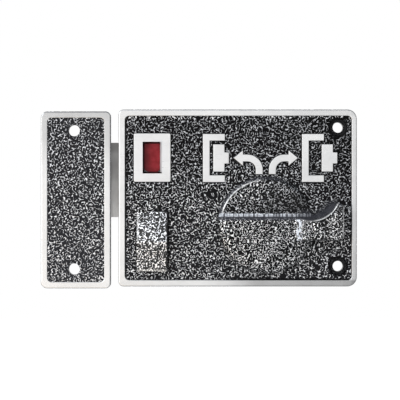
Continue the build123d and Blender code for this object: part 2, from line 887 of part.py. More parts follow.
def rack_rivets():
    """The two rivets through the rack and the bolt's tail."""
    places = rack_rivet_places()
    return group(slab(disc(x, z, rack_rivet_radius), tail_back, rack_front) for x, z in places)


def flag_rivet_places():
    """Where the red tile is pinned to the bolt."""
    half = flag_rivet_spacing / 2
    return [(window_x, window_z + half), (window_x, window_z - half)]


def indicator_flag():
    """The red tile, seen in the window while the bolt is thrown."""
    tile = Pos(window_x, window_z) * Rectangle(flag_width, flag_height)
    tile = fillet(tile.vertices().group_by(Axis.Y)[0], flag_corner)
    body = slab(tile, bolt_front, case_depth - flag_recess)
    for x, z in flag_rivet_places():
        body -= slab(disc(x, z, flag_rivet_radius), 0, bolt_front + flag_rivet_in_tile)
    return body


def indicator_rivets():
    """Two moulded-in pins that hold the tile to the bolt."""
    start = bolt_front - flag_rivet_in_bolt
    end = bolt_front + flag_rivet_in_tile
    return group(slab(disc(x, z, flag_rivet_radius), start, end) for x, z in flag_rivet_places())


def bolt():
    """The bolt: head, tail with the stop slot, and the two notches for the slide button's tongue."""
    head = slab(area(bolt_nose, head_end, bolt_bottom, bolt_top), bolt_depth, bolt_front)
    head = fillet(head.faces().sort_by(Axis.X)[0].outer_wire().edges(), bolt_end_radius)
    tail = slab(area(head_end - 1, tail_end, tail_low, tail_high), tail_back, tail_front)
    body = head + tail
    for x in (tongue_x, tongue_x - bolt_throw):
        half = tongue_width / 2 + notch_gap
        notch_top = bolt_bottom - tongue_rest_gap + button_travel + 2 * notch_gap
        body -= slab(area(x - half, x + half, bolt_bottom - 1, notch_top), bolt_depth - 1, bolt_front + 1)
    slot_radius = stop_pin_radius + notch_gap
    slot = area(stop_pin_x - bolt_throw, stop_pin_x, stop_pin_z - slot_radius, stop_pin_z + slot_radius)
    for x in (stop_pin_x, stop_pin_x - bolt_throw):
        slot += disc(x, stop_pin_z, slot_radius)
    body -= slab(slot, tail_back - 1, tail_front + 1)
    for x, z in rack_rivet_places():
        body -= slab(disc(x, z, rack_rivet_radius), 0, case_depth)
    for x, z in flag_rivet_places():
        body -= slab(disc(x, z, flag_rivet_radius), bolt_front - flag_rivet_in_bolt, case_depth)
    return body


def button_section(x, edge, crown):
    """The button's cross-section at one of its sides: flat behind, with a ridge in front."""
    low = button_z - button_height / 2
    high = button_z + button_height / 2
    base = -(case_depth + button_gap)
    ridge = (x, base - crown, button_z)
    corners = [(x, base - edge, low), (x, base, low), (x, base, high), (x, base - edge, high), ridge]
    return make_face(Polyline(*corners, close=True))


def snib_screw_places():
    """Where the two screws hold the plate to the button's neck."""
    half = snib_screw_spacing / 2
    return [(button_x, button_z + half), (button_x, button_z - half)]


def snib_screw_profile():
    """Half the outline of a small countersunk screw, head level with the plate's back."""
    rise = snib_screw_head_radius - snib_screw_radius
    end = snib_plate_back + snib_screw_length
    return [
        (0, snib_plate_back),
        (snib_screw_head_radius, snib_plate_back),
        (snib_screw_radius, snib_plate_back + rise),
        (snib_screw_radius, end),
        (0, end),
    ]


def snib_button():
    """The thumb button, rising from left to right, with the neck that passes through the face."""
    left = button_section(button_x - button_width / 2, button_low_edge, button_low_crown)
    right = button_section(button_x + button_width / 2, button_high_edge, button_high_crown)
    body = loft([left, right], ruled=True)
    crest = body.faces().sort_by(Axis.X)[-1].edges().sort_by(Axis.Y)[:2]
    body = fillet(crest, button_edge_round)
    neck = Pos(button_x, button_z) * Rectangle(neck_width, neck_height)
    body += slab(neck, snib_plate_front, case_depth + 2 * button_gap)
    for x, z in snib_screw_places():
        body -= turned(snib_screw_profile(), x, z)
    return body


def snib_plate():
    """The plate behind the face, with an arm and the tongue that locks the bolt."""
    left = button_x - snib_plate_width / 2
    right = button_x + snib_plate_width / 2
    tongue_left = tongue_x - tongue_width / 2
    tongue_right = tongue_x + tongue_width / 2
    tongue_top = bolt_bottom - tongue_rest_gap
    tongue_bottom = tongue_top - tongue_height
    bottom = button_z - snib_plate_height / 2
    outline = area(left, right, bottom, tongue_top)
    outline += area(left, tongue_right, tongue_top - snib_arm_height, tongue_top)
    body = slab(outline, snib_plate_back, snib_plate_front)
    tongue = area(tongue_left, tongue_right, tongue_bottom, tongue_top)
    body += slab(tongue, snib_plate_front - tongue_reach, snib_plate_front)
    for x, z in snib_screw_places():
        body -= turned(snib_screw_profile(), x, z)
    return body


def snib_screws():
    """The two countersunk screws of the slide button."""
    screws = []
    for x, z in snib_screw_places():
        slot = Pos(x, z) * Rectangle(2 * snib_screw_head_radius, screw_slot_width)
        cut = slab(slot, snib_plate_back - 1, snib_plate_back + screw_slot_width)
        screws.append(turned(snib_screw_profile(), x, z) - cut)
    return group(screws)


nodes = {
    "case_cover": case_cover(),
    "back_plate": back_plate(),
    "back_plate_screws": back_plate_screws(),
    "bolt_guide_upper": bolt_guide_upper(),
    "bolt_guide_lower": bolt_guide_lower(),
    "guide_rivets": guide_rivets(),
    "bolt_tension_spring": bolt_tension_spring(),
    "travel_stop_pin": travel_stop_pin(),
    "spindle_bush_front": spindle_bush_front(),
    "spindle_bush_rear": spindle_bush_rear(),
    "snib_spring": snib_spring(),
    "keep": keep(),
    "knob": knob(),
    "spindle": spindle(),
    "pinion": pinion(),
    "knob_pin": knob_pin(),
    "knob_circlip": knob_circlip(),
    "knob_spring_washer": knob_spring_washer(),
    "bolt": bolt(),
    "bolt_rack": bolt_rack(),
    "rack_rivets": rack_rivets(),
    "indicator_flag": indicator_flag(),
    "indicator_rivets": indicator_rivets(),
    "snib_button": snib_button(),
    "snib_plate": snib_plate(),
    "snib_screws": snib_screws(),
}

os.makedirs("parts", exist_ok=True)
for name, shape in nodes.items():
    export_step(shape, f"parts/{name}.step")
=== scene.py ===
import math

import bmesh
import bpy
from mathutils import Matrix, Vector


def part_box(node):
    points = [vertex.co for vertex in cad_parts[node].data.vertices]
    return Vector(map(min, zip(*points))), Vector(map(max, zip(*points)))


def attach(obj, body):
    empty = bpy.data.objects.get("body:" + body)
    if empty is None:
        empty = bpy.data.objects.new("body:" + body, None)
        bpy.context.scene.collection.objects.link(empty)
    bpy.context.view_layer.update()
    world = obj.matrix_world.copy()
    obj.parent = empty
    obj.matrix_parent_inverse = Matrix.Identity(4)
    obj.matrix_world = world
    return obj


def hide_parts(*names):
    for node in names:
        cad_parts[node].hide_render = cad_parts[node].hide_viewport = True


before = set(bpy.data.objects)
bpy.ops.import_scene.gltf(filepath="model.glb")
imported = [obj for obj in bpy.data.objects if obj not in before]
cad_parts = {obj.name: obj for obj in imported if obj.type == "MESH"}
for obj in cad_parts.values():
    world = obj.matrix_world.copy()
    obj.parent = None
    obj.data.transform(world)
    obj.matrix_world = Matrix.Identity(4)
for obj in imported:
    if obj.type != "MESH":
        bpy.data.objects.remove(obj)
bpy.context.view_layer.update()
scene = bpy.context.scene
scene.view_settings.view_transform = "Standard"


# The lock is seen square on, as it sits on the door, through a long lens from far away.
# The picture takes in a width of 209 mm at the face of the case.
picture_width = 0.2091
picture_centre = (-0.0197, -0.00107)
lens_length = 800
film_width = 36
relief_height = 0.0008

cover_low, cover_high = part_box("case_cover")
face_y = cover_low.y + relief_height
camera_data = bpy.data.cameras.new("front_camera")
camera_data.lens = lens_length
camera_data.sensor_width = film_width
camera = bpy.data.objects.new("front_camera", camera_data)
camera_distance = picture_width * lens_length / film_width
camera.location = (picture_centre[0], face_y - camera_distance, picture_centre[1])
camera.rotation_euler = (math.pi / 2, 0, 0)
scene.collection.objects.link(camera)
scene.camera = camera


# The studio is white all round, with a pale floor below the lock. A large cool softbox stands
# at the upper left and a smaller warm one below it. Cards that only reflections show give the
# polished metal something warmer or darker to mirror.
room_fill = 0.62
floor_drop = 0.104
floor_size = 6.0
floor_colour = (0.86, 0.86, 0.86, 1)
floor_glow = 0.55
card_lift = 0.0005
white = (1, 1, 1, 1)
lock_centre = Vector((picture_centre[0], face_y, picture_centre[1]))


def wire(tree, kind, inputs=(), **settings):
    """Adds a node with its settings, and feeds its inputs with values or with other sockets."""
    node = tree.nodes.new("ShaderNode" + kind)
    for name, value in settings.items():
        setattr(node, name, value)
    for name, value in dict(inputs).items():
        if isinstance(value, bpy.types.NodeSocket):
            tree.links.new(value, node.inputs[name])
        else:
            node.inputs[name].default_value = value
    return node


def calculate(tree, operation, first, second=0.0, third=0.0):
    """The result of one sum on values or sockets."""
    return wire(tree, "Math", {0: first, 1: second, 2: third}, operation=operation).outputs[0]


def new_material(name):
    """An empty material: its node tree and the socket that takes the shader."""
    material = bpy.data.materials.new(name)
    material.use_nodes = True
    material.node_tree.nodes.clear()
    output = material.node_tree.nodes.new("ShaderNodeOutputMaterial")
    return material, material.node_tree, output.inputs["Surface"]


def flat_card(name, place, width, height, facing):
    """A flat rectangle that faces a point."""
    mesh = bpy.data.meshes.new(name)
    card = bmesh.new()
    bmesh.ops.create_grid(card, x_segments=1, y_segments=1, size=0.5)
    bmesh.ops.scale(card, vec=(width, height, 1), verts=card.verts)
    turn = (Vector(facing) - Vector(place)).to_track_quat("Z", "Y").to_matrix()
    bmesh.ops.rotate(card, matrix=turn, verts=card.verts)
    bmesh.ops.translate(card, vec=place, verts=card.verts)
    card.to_mesh(mesh)
    card.free()
    piece = bpy.data.objects.new(name, mesh)
    scene.collection.objects.link(piece)
    return piece


def softbox(name, place, width, height, brightness, colour):
    """A soft rectangular light that faces the lock."""
    light = bpy.data.lights.new(name, "AREA")
    light.shape = "RECTANGLE"
    light.size = width
    light.size_y = height
    light.energy = brightness * math.pi * width * height
    light.color = colour
    lamp = bpy.data.objects.new(name, light)
    lamp.location = place
    lamp.rotation_euler = (lock_centre - Vector(place)).to_track_quat("-Z", "Y").to_euler()
    scene.collection.objects.link(lamp)


def mirrored_card(name, place, width, height, shade, facing=lock_centre):
    """A coloured card beside the lock that only its reflections show."""
    card = flat_card(name, place, width, height, facing)
    card.visible_camera = False
    card.visible_shadow = False
    card.visible_diffuse = False
    material, tree, surface = new_material(name)
    glow = wire(tree, "Emission", {"Color": shade + (1,), "Strength": 1.0})
    tree.links.new(glow.outputs[0], surface)
    card.data.materials.append(material)


world = bpy.data.worlds.new("white_room")
world.use_nodes = True
scene.world = world
room = world.node_tree
path = wire(room, "LightPath")
dimming = calculate(room, "MULTIPLY_ADD", path.outputs["Is Diffuse Ray"], room_fill - 1, 1.0)
room.links.new(dimming, room.nodes["Background"].inputs["Strength"])
room.nodes["Background"].inputs["Color"].default_value = white

floor_place = (0, 0, -floor_drop)
floor = flat_card("floor", floor_place, floor_size, floor_size, (0, 0, 1))
floor_material, tree, surface = new_material("floor")
matt = wire(tree, "BsdfDiffuse", {"Color": floor_colour})
path = wire(tree, "LightPath")
glow_amount = calculate(tree, "MULTIPLY", path.outputs["Is Camera Ray"], floor_glow)
glow = wire(tree, "Emission", {"Color": white, "Strength": glow_amount})
both = wire(tree, "AddShader", {0: matt.outputs[0], 1: glow.outputs[0]})
tree.links.new(both.outputs[0], surface)
floor.data.materials.append(floor_material)

cool_light = (0.9, 0.95, 1.0)
warm_light = (1.0, 0.88, 0.76)
softbox("key_softbox", (-0.85, -1.0, 0.45), width=1.0, height=0.8, brightness=2.1, colour=cool_light)
softbox("warm_softbox", (-0.75, -0.95, -0.06), width=0.8, height=0.3, brightness=1.2, colour=warm_light)

warm_place = (-0.45, -0.5, card_lift - floor_drop)
over_warm_card = (warm_place[0], warm_place[1], 0)
warm_shade = (1.15, 1.02, 0.88)
mirrored_card("warm_card", warm_place, width=0.8, height=0.8, shade=warm_shade, facing=over_warm_card)
mirrored_card("card_right", (0.75, -0.45, 0.1), width=0.8, height=1.2, shade=(0.35, 0.35, 0.35))
mirrored_card("card_low", (0.2, -0.25, -0.075), width=0.4, height=0.1, shade=(0.3, 0.3, 0.3))
mirrored_card("card_over_keep", (-0.12, -0.25, 0.17), width=0.18, height=0.12, shade=(0.4, 0.45, 0.55))
mirrored_card("card_above", (0.3, -0.4, 0.62), width=1.3, height=0.6, shade=(0.1, 0.12, 0.15))


# The case's cover is a zinc casting under a hammered paint: black, with silver that gathers
# into short crooked flecks. Its raised border and figures are ground bare and bright, and
# inside it keeps the dull grey of the casting.
paint_colour = (0.0032, 0.0031, 0.0035, 1)
# Blue-black painted shade, for the shade round the knob and in its hollows.
painted_shade_colour = (0.054, 0.056, 0.068, 1)
silver_colour = (0.87, 0.89, 0.93, 1)
bare_colour = (0.9, 0.905, 0.91, 1)
casting_colour = (0.3, 0.3, 0.31, 1)
cover_gloss = 0.08
wall = 0.003
soft_edge = 0.0001
noise_span = (0.3, 0.7)
noise_middle = 0.5

fleck_spacing = 0.001345
fleck_amount = 0.5
fleck_width = 0.1
fleck_softness = 0.02
fleck_depth = 0.00012
fleck_metal = 0.9
patches_per_fleck = 1.3
line_stretch = (60, 2500, 2500)
line_blotch = 0.012
grinding_depth = 0.000004
cast_metal = 0.85
paint_roughness = 0.3
fleck_roughness = 0.4
cast_roughness = 0.55
wall_roughness = 0.5
corner_reach = 0.0009

# The knob and its scoop are needed here too, because shade is painted on the cover round them.
knob_axis = Vector((0.0147, 0, -0.0143))
knob_radius = 0.0252
scoop_axis = knob_axis + Vector((0.0235, 0, 0.0174))
holes_centre = Vector((0.0524, 0, 0.0006))
holes_spacing = 0.0725
sink_radius = 0.0049
flag_low, flag_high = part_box("indicator_flag")
# The window's walls are painted black as shade, and its right wall is painted bright as lit.
window_margin = 0.0018
window_low = Vector((flag_low.x - window_margin, cover_low.y, flag_low.z - window_margin))
window_high = Vector((flag_high.x + window_margin, 0, flag_high.z + window_margin))
lit_wall_low = Vector((flag_high.x, cover_low.y, flag_low.z - 0.0002))
button_low, button_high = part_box("snib_button")
# A strip of painted shadow lies along the right side of the button.
button_shadow_low = Vector((button_high.x, cover_low.y, button_low.z))
button_shadow_high = Vector((button_high.x + 0.0009, 0, button_high.z + 0.0008))
button_shadow_edge = 0.0002
button_shadow_share = 0.85

# Each fade below says where it starts, where it ends, and the values at its two ends, which
# are 0 and 1 where it names none. These belong to the finishes themselves, but for the corner
# fade, which places the light and shade painted into the corners.
patch_shades = (0.38, 0.6, 0.1, 1.42)
corner_fade = (0.9, 0.65)
ground_share = 0.72
bare_from = face_y - relief_height * ground_share
ground_fade = (bare_from + soft_edge, bare_from - soft_edge)
polish_fade = (*noise_span, 0.27, 0.36)
bare_shades = (*noise_span, 0.95, 1.03)
cast_shades = (*noise_span, 0.8, 1.15)

# Smooth black paint lies in the sinks of the fixing holes, and painted shadow lines run along
# the foot and the left side of the border.
sink_fade = (sink_radius + 0.0008, sink_radius, 0.0, 0.95)
face_fade = (cover_low.y + 0.0026, cover_low.y + 0.0022)
foot_shadow_edge = (cover_low.z + 0.0045, cover_low.z + 0.0039)
foot_shadow_rightwards = (-0.008, 0.004, 0.0, 0.95)
left_shadow_edge = (cover_low.x + 0.0045, cover_low.x + 0.0041, 0.0, 0.8)

# Blue-black shade is painted round the upper left of the knob and over its tail.
shade_ring_edge = (knob_radius + 0.0007, knob_radius)
shade_ring_upwards = (knob_axis.z - 0.004, knob_axis.z + 0.008)
shade_ring_leftwards = (knob_axis.x + 0.014, knob_axis.x + 0.002, 0.0, 0.85)
tail_shade_start = (0.0078, 0.0118, 0.0, 0.75)
tail_shade_end = (0.0155, 0.0148)
tail_shade_rightwards = (scoop_axis.x - 0.001, scoop_axis.x + 0.004)
tail_shade_downwards = (scoop_axis.z - 0.0025, scoop_axis.z - 0.0065)

# Shade and light are painted on the silver: dimmer towards the top and the right, and brighter on the upper
# edge.
upper_edge_fade = (cover_high.z - 0.0052, cover_high.z - 0.0044)
silver_upwards = (-0.01, 0.03, 1.0, 0.68)
silver_rightwards = (0.01, 0.055)
right_silver_upwards = (-0.022, -0.004, 1.12, 0.78)
open_silver = 0.82
upper_edge_silver = 1.5

# Light is painted into the black: paler towards the bottom, and deepest at the upper right.
lit_black_downwards = (0.03, -0.035, 1.0, 4.4)
dark_rightwards = (0.03, 0.055)
dark_upwards = (-0.02, 0.02)
shaded_black = 0.3

# Shade is painted on the bare border, darker at its foot, its top and its right side.
lower_border = (cover_low.z + 0.0038, cover_low.z + 0.0028)
lower_border_shine = (-0.016, 0.014, 0.98, 0.6)
upper_border = (cover_high.z - 0.0038, cover_high.z - 0.0028)
upper_border_shine = (-0.02, 0.05, 1.0, 0.9)
right_border = (cover_high.x - 0.0032, cover_high.x - 0.0024)
right_border_shine = (-0.036, -0.014, 0.8, 0.92)


def new_group(name, inputs, outputs):
    """An empty node group with its named inputs and outputs."""
    tree = bpy.data.node_groups.new(name, "ShaderNodeTree")
    for label, kind, value in inputs:
        socket = tree.interface.new_socket(label, in_out="INPUT", socket_type="NodeSocket" + kind)
        socket.default_value = value
    for label, kind in outputs:
        tree.interface.new_socket(label, in_out="OUTPUT", socket_type="NodeSocket" + kind)
    return tree, tree.nodes.new("NodeGroupInput").outputs, tree.nodes.new("NodeGroupOutput").inputs


def noise(tree, place, scale, detail=0.0):
    """A smooth random pattern from 0 to 1."""
    return wire(tree, "TexNoise", {"Vector": place, "Scale": scale, "Detail": detail}).outputs[0]


def spread(tree, value, low, high, to_low=0.0, to_high=1.0):
    """The value taken smoothly from one range to another."""
    inputs = {"Value": value, "From Min": low, "From Max": high, "To Min": to_low, "To Max": to_high}
    return wire(tree, "MapRange", inputs, interpolation_type="SMOOTHSTEP").outputs[0]


def blend_value(tree, share, first, second):
    """The first value, going over to the second as the share goes from 0 to 1."""
    return wire(tree, "Mix", {0: share, 2: first, 3: second}, data_type="FLOAT").outputs[0]


def blend_colour(tree, share, first, second):
    """The first colour, going over to the second as the share goes from 0 to 1."""
    return wire(tree, "Mix", {0: share, 6: first, 7: second}, data_type="RGBA").outputs[2]


def brightened(tree, colour, share):
    """A colour times a share that changes over the surface."""
    return wire(tree, "VectorMath", {0: colour, 3: share}, operation="SCALE").outputs[0]


def most(tree, first, *others):
    """The largest of several masks."""
    for other in others:
        first = calculate(tree, "MAXIMUM", first, other)
    return first


def all_of(tree, first, *others):
    """The product of several masks, which is one only where each of them is one."""
    for other in others:
        first = calculate(tree, "MULTIPLY", first, other)
    return first


def rest_of(tree, mask):
    """One where a mask is zero."""
    return calculate(tree, "SUBTRACT", 1.0, mask)


def fleck_group():
    """The silver flecks of hammered paint: where they lie, how bright each is, and its height."""
    inputs = [("Spacing", "Float", fleck_spacing), ("Amount", "Float", fleck_amount)]
    outputs = [("Fleck", "Float"), ("Shade", "Float"), ("Height", "Float")]
    tree, given, results = new_group("hammer_flecks", inputs, outputs)
    place = wire(tree, "TexCoord").outputs["Object"]
    scale = calculate(tree, "DIVIDE", 1.0, given["Spacing"])
    ripple = noise(tree, place, scale)
    away = calculate(tree, "ABSOLUTE", calculate(tree, "SUBTRACT", ripple, noise_middle))
    thickness = calculate(tree, "MULTIPLY", given["Amount"], fleck_width)
    outside = calculate(tree, "ADD", thickness, fleck_softness)
    within_fleck = calculate(tree, "SUBTRACT", thickness, fleck_softness)
    tree.links.new(spread(tree, away, outside, within_fleck), results["Fleck"])
    patches = noise(tree, place, calculate(tree, "MULTIPLY", scale, patches_per_fleck))
    tree.links.new(spread(tree, patches, *patch_shades), results["Shade"])
    tree.links.new(ripple, results["Height"])
    return tree


def line_group():
    """Grinding lines along one direction, and the broad blotches of handling."""
    inputs = [("Stretch", "Vector", line_stretch), ("Blotch", "Float", line_blotch)]
    outputs = [("Lines", "Float"), ("Blotches", "Float")]
    tree, given, results = new_group("grinding_lines", inputs, outputs)
    place = wire(tree, "TexCoord").outputs["Object"]
    drawn = wire(tree, "VectorMath", {0: place, 1: given["Stretch"]}, operation="MULTIPLY")
    tree.links.new(noise(tree, drawn.outputs[0], scale=1.0, detail=2.0), results["Lines"])
    scale = calculate(tree, "DIVIDE", 1.0, given["Blotch"])
    tree.links.new(noise(tree, place, scale, detail=3.0), results["Blotches"])
    return tree


def axis_parts(tree, vector):
    """The X, Y and Z parts of a vector."""
    return wire(tree, "SeparateXYZ", {0: vector}).outputs


def box_group():
    """Whether a point lies inside a box, with a soft edge."""
    inputs = [("Centre", "Vector", (0, 0, 0)), ("Half", "Vector", (1, 1, 1)), ("Edge", "Float", soft_edge)]
    tree, given, results = new_group("inside_box", inputs, [("Inside", "Float")])
    place = wire(tree, "TexCoord").outputs["Object"]
    offset = wire(tree, "VectorMath", {0: place, 1: given["Centre"]}, operation="SUBTRACT").outputs[0]
    away = wire(tree, "VectorMath", {0: offset}, operation="ABSOLUTE").outputs[0]
    past = wire(tree, "VectorMath", {0: away, 1: given["Half"]}, operation="SUBTRACT").outputs[0]
    parts = axis_parts(tree, past)
    widest = most(tree, parts[0], parts[1], parts[2])
    minus_edge = calculate(tree, "MULTIPLY", given["Edge"], -1.0)
    tree.links.new(spread(tree, widest, given["Edge"], minus_edge), results["Inside"])
    return tree


hammer_flecks = fleck_group()
grinding_lines = line_group()
inside_box = box_group()


def grouped(tree, group, **inputs):
    """Places a node group in a material, with its own values, and gives its outputs."""
    node = tree.nodes.new("ShaderNodeGroup")
    node.node_tree = group
    for name, value in inputs.items():
        node.inputs[name].default_value = value
    return node.outputs


def within(tree, low, high, edge=soft_edge):
    """Whether a point lies between two corners."""
    centre = (Vector(low) + Vector(high)) / 2
    half = (Vector(high) - Vector(low)) / 2
    return grouped(tree, inside_box, Centre=centre, Half=half, Edge=edge)["Inside"]


def principled(tree, surface, **inputs):
    """The surface shader of a material."""
    named = {name.replace("_", " "): value for name, value in inputs.items()}
    shader = wire(tree, "BsdfPrincipled", named)
    tree.links.new(shader.outputs[0], surface)


def dress(node, material):
    """Gives a piece of the lock its material."""
    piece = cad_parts[node]
    piece.data.materials.clear()
    piece.data.materials.append(material)


def distance_from(tree, place, centre):
    """How far a point is from an axis square to the door."""
    offset = wire(tree, "VectorMath", {0: place, 1: centre}, operation="SUBTRACT").outputs[0]
    level = wire(tree, "VectorMath", {0: offset, 1: (1, 0, 1)}, operation="MULTIPLY").outputs[0]
    return wire(tree, "VectorMath", {0: level}, operation="LENGTH").outputs["Value"]


def round_holes(tree, place, centre, fade):
    """One round each of two fixing holes, and zero away from them."""
    discs = 0.0
    for side in (-1, 1):
        hole = centre + Vector((0, 0, side * holes_spacing / 2))
        discs = most(tree, discs, spread(tree, distance_from(tree, place, hole), *fade))
    return discs


def sheltered(tree):
    """One in the corners of a piece, where shade falls, and zero in the open."""
    inputs = {"Distance": corner_reach}
    shelter = wire(tree, "AmbientOcclusion", inputs, samples=8, only_local=True).outputs["AO"]
    return spread(tree, shelter, *corner_fade)


def varied(tree, colour, blotches, shades):
    """A colour whose brightness wanders between two shares of it."""
    value = spread(tree, blotches, *shades)
    return wire(tree, "HueSaturation", {"Color": colour, "Value": value}).outputs[0]


def bumped(tree, height):
    """The normal of a surface whose fine relief is a height in metres."""
    inputs = {"Height": height, "Distance": 1.0, "Strength": 1.0}
    return wire(tree, "Bump", inputs).outputs[0]


def casting_material(name, low, high, paint_shade, gloss, marks):
    """Hammered paint, with the raised figures ground bare and the inside left as cast."""
    material, tree, surface = new_material(name)
    place = wire(tree, "TexCoord").outputs["Object"]
    parts = axis_parts(tree, place)
    flecks = grouped(tree, hammer_flecks, Spacing=fleck_spacing, Amount=fleck_amount)
    lines = grouped(tree, grinding_lines, Stretch=line_stretch, Blotch=line_blotch)
    unmarked = {"pooled": 0.0, "plain_corners": 0.0, "lit_wall": 0.0}
    mark = unmarked | marks(tree, place, parts)
    covered = most(tree, mark["smooth"], mark["pooled"])
    kept = all_of(tree, rest_of(tree, covered), rest_of(tree, mark["plain_corners"]))
    fleck = all_of(tree, flecks["Fleck"], kept)
    ground = spread(tree, parts["Y"], *ground_fade)
    inner_low = Vector(low) + Vector((wall / 2, wall / 2, wall / 2))
    inner_high = Vector(high) + Vector((-wall / 2, wall, -wall / 2))
    inside = all_of(tree, within(tree, inner_low, inner_high), rest_of(tree, mark["smooth"]))

    bright = varied(tree, bare_colour, lines["Blotches"], bare_shades)
    bright = brightened(tree, bright, mark["shine"])
    cast = varied(tree, casting_colour, lines["Blotches"], cast_shades)
    paint = brightened(tree, paint_shade[:3], mark["veil"])
    paint = blend_colour(tree, mark["pooled"], paint, painted_shade_colour)
    silver = brightened(tree, silver_colour[:3], all_of(tree, flecks["Shade"], mark["silver"]))
    colour = blend_colour(tree, fleck, paint, silver)
    colour = blend_colour(tree, inside, colour, cast)
    colour = blend_colour(tree, most(tree, ground, mark["lit_wall"]), colour, bright)

    metallic = blend_value(tree, inside, all_of(tree, fleck, fleck_metal), cast_metal)
    metallic = blend_value(tree, mark["lit_wall"], most(tree, metallic, ground), 0.0)
    roughness = blend_value(tree, fleck, paint_roughness, fleck_roughness)
    roughness = blend_value(tree, inside, roughness, cast_roughness)
    roughness = blend_value(tree, mark["lit_wall"], roughness, wall_roughness)
    roughness = blend_value(tree, ground, roughness, spread(tree, lines["Lines"], *polish_fade))
    hammered = all_of(tree, flecks["Height"], fleck_depth, kept)
    grinding = all_of(tree, lines["Lines"], grinding_depth)
    principled(
        tree,
        surface,
        Base_Color=colour,
        Metallic=metallic,
        Roughness=roughness,
        Specular_IOR_Level=gloss,
        Normal=bumped(tree, blend_value(tree, ground, hammered, grinding)),
    )
    return material


def cover_sinks_and_shade(tree, place, parts):
    """Where the cover is plain black: smooth paint in its holes, and painted shade in its window, beside
    its button and along its border.
    """
    button_shadow = within(tree, button_shadow_low, button_shadow_high, button_shadow_edge)
    button_shadow = all_of(tree, button_shadow, button_shadow_share)
    foot_line = spread(tree, parts["Z"], *foot_shadow_edge)
    foot_line = all_of(tree, foot_line, spread(tree, parts["X"], *foot_shadow_rightwards))
    left_line = spread(tree, parts["X"], *left_shadow_edge)
    on_face = spread(tree, parts["Y"], *face_fade)
    lines = all_of(tree, most(tree, foot_line, left_line), on_face)
    sinks = round_holes(tree, place, holes_centre, sink_fade)
    return most(tree, sinks, button_shadow, lines, within(tree, window_low, window_high))


def cover_painted_shade(tree, place, parts):
    """Painted shade on the cover: round the upper left of the knob and over its tail."""
    from_knob = distance_from(tree, place, knob_axis)
    from_scoop = distance_from(tree, place, scoop_axis)
    round_knob = all_of(
        tree,
        spread(tree, from_knob, *shade_ring_edge),
        spread(tree, parts["Z"], *shade_ring_upwards),
        spread(tree, parts["X"], *shade_ring_leftwards),
    )
    over_tail = all_of(
        tree,
        spread(tree, from_scoop, *tail_shade_start),
        spread(tree, from_scoop, *tail_shade_end),
        spread(tree, parts["X"], *tail_shade_rightwards),
        spread(tree, parts["Z"], *tail_shade_downwards),
    )
    return most(tree, round_knob, over_tail)


def cover_shine(tree, parts):
    """The painted shade on the cover's bare metal along each side of its border."""
    lower = blend_value(
        tree, spread(tree, parts["Z"], *lower_border), 1.0, spread(tree, parts["X"], *lower_border_shine)
    )
    upper = blend_value(
        tree, spread(tree, parts["Z"], *upper_border), 1.0, spread(tree, parts["X"], *upper_border_shine)
    )
    right = blend_value(
        tree, spread(tree, parts["X"], *right_border), 1.0, spread(tree, parts["Z"], *right_border_shine)
    )
    return all_of(tree, lower, upper, right)


def cover_marks(tree, place, parts):
    """The cover's smooth paint and painted shade, and the painted light and shade on its silver, black and
    bare metal.
    """
    smooth = cover_sinks_and_shade(tree, place, parts)
    upper_edge = spread(tree, parts["Z"], *upper_edge_fade)
    right_silver = spread(tree, parts["Z"], *right_silver_upwards)
    silver = all_of(
        tree,
        spread(tree, parts["Z"], *silver_upwards),
        blend_value(tree, spread(tree, parts["X"], *silver_rightwards), 1.0, right_silver),
        blend_value(tree, upper_edge, open_silver, upper_edge_silver),
    )
    dark = all_of(tree, spread(tree, parts["X"], *dark_rightwards), spread(tree, parts["Z"], *dark_upwards))
    veil = blend_value(tree, dark, spread(tree, parts["Z"], *lit_black_downwards), shaded_black)
    return {
        "smooth": smooth,
        "pooled": cover_painted_shade(tree, place, parts),
        "plain_corners": all_of(tree, sheltered(tree), rest_of(tree, upper_edge)),
        "lit_wall": within(tree, lit_wall_low, window_high),
        "silver": silver,
        "shine": cover_shine(tree, parts),
        "veil": blend_value(tree, smooth, veil, 1.0),
    }


case_paint = casting_material("case_paint", cover_low, cover_high, paint_colour, cover_gloss, cover_marks)
dress("case_cover", case_paint)


# The keep is a smaller casting of the same kind, screwed to the door frame. Its light and
# shade are painted: smooth black at the left of its two holes, brighter silver in its corners,
# silver that dims upwards and black that pales downwards, and a bare border duller towards the top.
keep_colour = (0.014, 0.014, 0.017, 1)
keep_gloss = 0.15
keep_holes = Vector((-0.0855, 0, -0.001))
keep_low, keep_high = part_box("keep")
keep_sink_fade = (0.0052, 0.0042)
keep_sink_leftwards = (keep_holes.x + 0.002, keep_holes.x - 0.001, 0.0, 0.6)
keep_open_silver = 0.78
keep_corner_silver = 1.2
keep_silver_upwards = (-0.03, 0.03, 1.04, 0.95)
keep_lit_black_downwards = (0.005, -0.035, 1.0, 1.65)
keep_shine_upwards = (0.008, 0.036, 1.0, 0.78)
keep_border_shine = (keep_high.z - 0.0038, keep_high.z - 0.0028, 1.0, 0.95)
keep_edge_shine = (keep_high.z - 0.0009, keep_high.z - 0.0006, 1.0, 0.68)


def keep_marks(tree, place, parts):
    """The keep's painted shade at its holes, and the painted light and shade on its silver, black and bare
    metal.
    """
    height = parts["Z"]
    sinks = round_holes(tree, place, keep_holes, keep_sink_fade)
    in_corners = blend_value(tree, sheltered(tree), keep_open_silver, keep_corner_silver)
    return {
        "smooth": all_of(tree, sinks, spread(tree, parts["X"], *keep_sink_leftwards)),
        "silver": all_of(tree, in_corners, spread(tree, height, *keep_silver_upwards)),
        "shine": all_of(
            tree,
            spread(tree, height, *keep_shine_upwards),
            spread(tree, height, *keep_border_shine),
            spread(tree, height, *keep_edge_shine),
        ),
        "veil": spread(tree, height, *keep_lit_black_downwards),
    }


keep_paint = casting_material("keep_paint", keep_low, keep_high, keep_colour, keep_gloss, keep_marks)
dress("keep", keep_paint)


